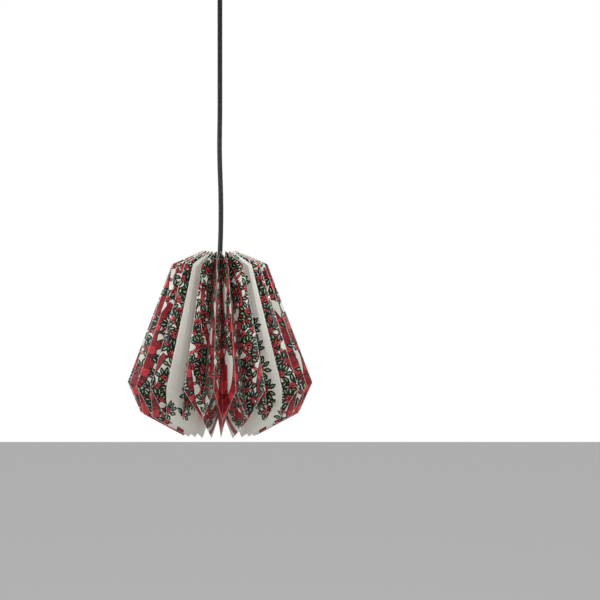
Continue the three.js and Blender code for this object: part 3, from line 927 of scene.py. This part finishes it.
def ceiling_fitting():
    zinc = metal("zinc_plate", (0.62, 0.64, 0.67, 1), (0.50, 0.51, 0.53, 1), 0.24, 0.40)
    white = moulded("white_plastic", (0.80, 0.79, 0.76, 1), 0.93, 0.34, 0.46)
    brass = metal("brass", (0.78, 0.56, 0.24, 1), (0.62, 0.42, 0.17, 1), 0.22, 0.36)
    add_piece("plate", eased("ceiling_plate", 0.6), "ceiling", zinc, "ceiling_plate")
    hook = [(0, 0, -2.4), (0, 0, -5.0), (0, 0, -7.6)]
    for i in range(15):
        t = math.radians(95 - i / 14 * 305)
        hook.append((HOOK_BEND * math.cos(t), 0, HOOK_MIDDLE + HOOK_BEND * math.sin(t)))
    add_piece("hook", wire("hook", HOOK_WIRE, hook), "ceiling", zinc, "ceiling_hook")
    foot = lathe("hook_foot", [(0, -3.8), (4, -3.8), (4, -2.3), (0, -2.3)])
    add_piece("hook_foot", foot, "ceiling", zinc, "ceiling_hook")
    link = wire("link", LINK_WIRE, link_ring("hook_link"), closed=True)
    add_piece("link", link, "link", zinc, "hook_link")
    z = hanger_eye()
    eye_ring = [(EYE_RADIUS * math.cos(t), 0, z + EYE_RADIUS * math.sin(t)) for t in round_angles(16)]
    eye = wire("hanger_eye", EYE_WIRE, eye_ring, closed=True)
    add_piece("hanger_eye", eye, "pendant", white, "cord_hanger")
    groove = [(7, -44), (6.4, -43.4), (6.4, -42.6), (7, -42)]
    body = [(0, -50), (7, -50)] + groove + [(7, -38), (5.5, -36.5), (0, -36.5)]
    add_piece("hanger_body", lathe("hanger_body", body), "pendant", white, "cord_hanger")
    add_piece("block", eased("terminal_block", 0.6), "pendant", white, "terminal_block")
    for name in ("block_screw_live", "block_screw_neutral"):
        add_piece(name + "_head", eased(name), "pendant", brass, name)
    cup_and_grip(white)
    return zinc, white, brass


def round_angles(count):
    """Even angles round a full turn."""
    return [2 * math.pi * i / count for i in range(count)]


def link_ring(node):
    """The middle line of the link, a ring of wire that stands across the hook."""
    low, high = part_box(node)
    wire_radius = (high.x - low.x) / 2 / MM
    radius, z = (high.z - low.z) / 2 / MM - wire_radius, (high.z + low.z) / 2 / MM
    return [(0, radius * math.cos(t), z + radius * math.sin(t)) for t in round_angles(16)]


def hanger_eye():
    """The height of the middle of the hanger's eye."""
    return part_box("cord_hanger")[1].z / MM - EYE_RADIUS - EYE_WIRE


def cup_and_grip(white):
    """The cup's round wall, its neck, and the knurled screw that grips the cord."""
    arc = [math.radians(t) for t in range(0, 91, 10)]
    middle, inner = CUP_RADIUS - CUP_CORNER, CUP_CORNER - CUP_WALL
    outside = [(middle + CUP_CORNER * math.sin(t), CUP_CORNER_Z - CUP_CORNER * math.cos(t)) for t in arc]
    inside = [(middle + inner * math.sin(t), CUP_CORNER_Z - inner * math.cos(t)) for t in reversed(arc)]
    neck = [(4.2, -76.5), (9, -76.5), (9, -66), (10.5, -64.5)]
    rim = [(CUP_RADIUS, -6.5), (CUP_RADIUS - CUP_WALL, -6.5)]
    cup = lathe("cup", neck + outside + rim + inside + [(4.2, -62.5)], ease=0.3)
    add_piece("cup", cup, "cup", white, "ceiling_cup")
    head = [(0, 3.7), (1.8, 3.7), (1.8, 9.3), (4, 9.3), (4, 13.8), (0, 13.8)]
    screw = lathe("grip_screw", head, ribs(16, 0.35, 3.9), ease=0.25)
    screw.transform(Matrix.Translation((0, 0, -70.5 * MM)) @ Matrix.Rotation(math.pi / 2, 4, "Y"))
    add_piece("grip_screw", screw, "cup_screw", white, "cup_grip_screw")


# ---- Lampholder and bulb ---------------------------------
E27_PITCH = 3.629
GLOBE_RADIUS, GLOBE_NECK, GLOBE_TOP = 30, 22.5, -92.3


def lampholder(zinc, white, brass):
    black = moulded("black_plastic", (0.014, 0.014, 0.015, 1), 1.6, 0.26, 0.40)
    arc = [math.radians(10 * i) for i in range(9)]
    dome = [(7.5 + 12.5 * math.cos(t), -24.7 + 8.4 * math.sin(t)) for t in arc]
    neck = [(6.5, -16), (6.5, -10), (5.5, -9), (4.2, -9), (4.2, -18.2), (14.8, -23.7)]
    turned_piece(
        "holder_top", [(17.8, -29.7), (20, -29.7)] + dome + neck, "pendant", "black_plastic", black,
        "holder_cap", ribs(36, 0.5, 19.9), segments=180,
    )
    flange = [(24, -37), (24, -34), (20, -34), (20, -30), (16.5, -30)]
    skirt = [(16.5, -72), (18.9, -72)] + side_steps(19.5, -71.4, -37) + flange
    turned_piece(
        "holder_skirt", skirt, "pendant", "black_plastic", black, "holder_body",
        outer_only(thread(3.0, 0.8, RIM_Z - 71, RIM_Z - 47), 19.0, 20.0), ease=0.2,
    )
    ring = [(19.9, -45.9), (26, -45.9), (26, -38.9), (19.9, -38.9)]
    grip = ribs(24, 0.7, 25.2)
    turned_piece("clamp_ring", ring, "ring", "black_plastic", black, "shade_ring", grip, segments=192)
    add_piece("carrier_disc", eased("carrier_plate", 0.25), "carrier", zinc, "carrier_plate")
    ceramic = eased("contact_base", 0.5)
    add_piece("contact_block", ceramic, "pendant", fired_ceramic(), "contact_base")
    add_piece("cap_grip", eased("cap_grip_screw"), "cap_screw", white, "cap_grip_screw")
    for name in ("terminal_post_live", "terminal_post_neutral", "centre_contact"):
        add_piece(name + "_brass", eased(name, 0.4), "pendant", brass, name)
    shell = side_steps(13.6, -66, -46.3) + side_steps(14.2, -46.3, -66)
    turned_piece("threaded_shell", shell, "pendant", "brass", brass, "screw_shell", shell_thread, ease=0)
    return black


def shell_thread(radius, z, angle):
    """The sheet-metal socket's thread stays within its wall's outer radius."""
    return thread(E27_PITCH, 0.25, RIM_Z - 65, RIM_Z - 47)(radius, z, angle)


def outer_only(ripple, low, high):
    """A ripple for radii between two limits only."""
    return lambda radius, z, angle: ripple(radius, z, angle) if low < radius < high else radius


def turned_piece(name, profile, body, slot, material, node, ripple=None, **settings):
    """A turned piece whose profile's heights count from the shade's rim."""
    data = lathe(name, [(radius, RIM_Z + z) for radius, z in profile], ripple, **settings)
    return add_piece(name, data, body, material, node)


def lamp_bulb(white, black, brass):
    aluminium = metal("aluminium", (0.72, 0.73, 0.74, 1), (0.60, 0.61, 0.62, 1), 0.26, 0.42)
    add_piece("bulb_tip_brass", eased("bulb_tip", 0.3), "bulb_contact", brass, "bulb_tip")
    disc = eased("bulb_insulator")
    add_piece("bulb_insulator_disc", disc, "bulb", black, "bulb_insulator")
    cap = [(0, -71.7)] + side_steps(13, -71.7, -55.3) + [(11.5, -53.8), (0, -53.8)]
    cut = outer_only(thread(E27_PITCH, 1.1, RIM_Z - 70.5, RIM_Z - 54.5), 12.5, 14)
    turned_piece("bulb_screw_cap", cap, "bulb", "aluminium", aluminium, "bulb_cap", cut, ease=0)
    collar = [(0, -92), (23, -92), (22.4, -86), (21, -80), (18, -76), (14.5, -72), (0, -72)]
    turned_piece("bulb_collar_body", collar, "bulb", "white_plastic", white, "bulb_collar", ease=0.8)
    neck = math.asin(GLOBE_NECK / GLOBE_RADIUS)
    centre = GLOBE_TOP - GLOBE_RADIUS * math.cos(neck)
    steps = 40
    globe = []
    for i in range(steps + 1):
        t = math.pi - i / steps * (math.pi - neck)
        globe.append((0 if i == 0 else GLOBE_RADIUS * math.sin(t), centre + GLOBE_RADIUS * math.cos(t)))
    globe.append((0, GLOBE_TOP))
    turned_piece("bulb_glass", globe, "bulb", "glass_opal", opal_glass(), "bulb_globe", ease=0)


# ---- Studio ----------------------------------------------
def lamp(name, place, aim, size, power):
    data = bpy.data.lights.new(name, "AREA")
    data.shape = "RECTANGLE"
    data.size, data.size_y = size
    data.energy = power
    obj = bpy.data.objects.new(name, data)
    obj.location = place
    obj.rotation_euler = (Vector(aim) - Vector(place)).to_track_quat("-Z", "Y").to_euler()
    bpy.context.scene.collection.objects.link(obj)


def spot(name, place, aim, cone, power):
    """A soft-edged pool of light, brightest at the shade's upper half."""
    data = bpy.data.lights.new(name, "SPOT")
    data.spot_size = math.radians(cone)
    data.spot_blend = 1.0
    data.shadow_soft_size = 0.12
    data.energy = power
    obj = bpy.data.objects.new(name, data)
    obj.location = place
    obj.rotation_euler = (Vector(aim) - Vector(place)).to_track_quat("-Z", "Y").to_euler()
    bpy.context.scene.collection.objects.link(obj)


def studio():
    """A pale floor well below, soft light from the sides and the front, and a little up into the shade."""
    mesh = bpy.data.meshes.new("floor")
    half, z = FLOOR_HALF, FLOOR_Z
    corners = [(-half, -half, z), (half, -half, z), (half, half, z), (-half, half, z)]
    mesh.from_pydata(corners, [], [(0, 1, 2, 3)])
    floor = bpy.data.objects.new("floor", mesh)
    bpy.context.scene.collection.objects.link(floor)
    n = Nodes("floor")
    pale = (0.86, 0.86, 0.86, 1)
    mesh.materials.append(n.set(Base_Color=pale, Roughness=0.85, Emission_Strength=FLOOR_GLOW))
    lamp("left_softbox", (-1.8, -0.9, 0.1), LIGHTS_AIM, (1.0, 1.2), 10.5)
    lamp("right_softbox", (1.8, -0.7, 0.1), LIGHTS_AIM, (1.0, 1.2), 9)
    lamp("front_softbox", (0.2, -2.6, 0.9), LIGHTS_AIM, (1.0, 1.2), 12)
    lamp("top_softbox", (0.0, -0.6, 1.0), LIGHTS_AIM, (1.0, 0.8), 14)
    lamp("left_rim_softbox", (-1.5, 1.3, -0.5), LIGHTS_AIM, (0.7, 1.4), 9)
    lamp("right_rim_softbox", (1.6, 1.2, -0.4), LIGHTS_AIM, (0.5, 1.2), 4)
    lamp("inside_softbox", (0.0, 0.0, -1.5), LIGHTS_AIM, (0.5, 0.5), 3)
    rim = (0, 0, RIM_Z * MM)
    spot("left_spot", (-1.3, -1.9, 0.2), rim, 9.6, 135)
    spot("right_spot", (1.3, -1.9, 0.2), rim, 9.4, 85)
    white_surroundings()


def white_surroundings():
    """White behind the lantern, and a much dimmer light from all round it."""
    world = bpy.data.worlds.new("studio")
    world.use_nodes = True
    tree = world.node_tree
    background = tree.nodes["Background"]
    background.inputs["Color"].default_value = (1, 1, 1, 1)
    seen = tree.nodes.new("ShaderNodeLightPath")
    level = tree.nodes.new("ShaderNodeMapRange")
    level.inputs["To Min"].default_value = AMBIENT
    level.inputs["To Max"].default_value = 1.0
    tree.links.new(seen.outputs["Is Camera Ray"], level.inputs["Value"])
    tree.links.new(level.outputs[0], background.inputs["Strength"])
    bpy.context.scene.world = world


bpy.context.scene.view_settings.view_transform = "Standard"
camera()
cord()
supply_wires()
shade()
gathering_thread()
zinc, white, brass = ceiling_fitting()
black = lampholder(zinc, white, brass)
lamp_bulb(white, black, brass)
studio()
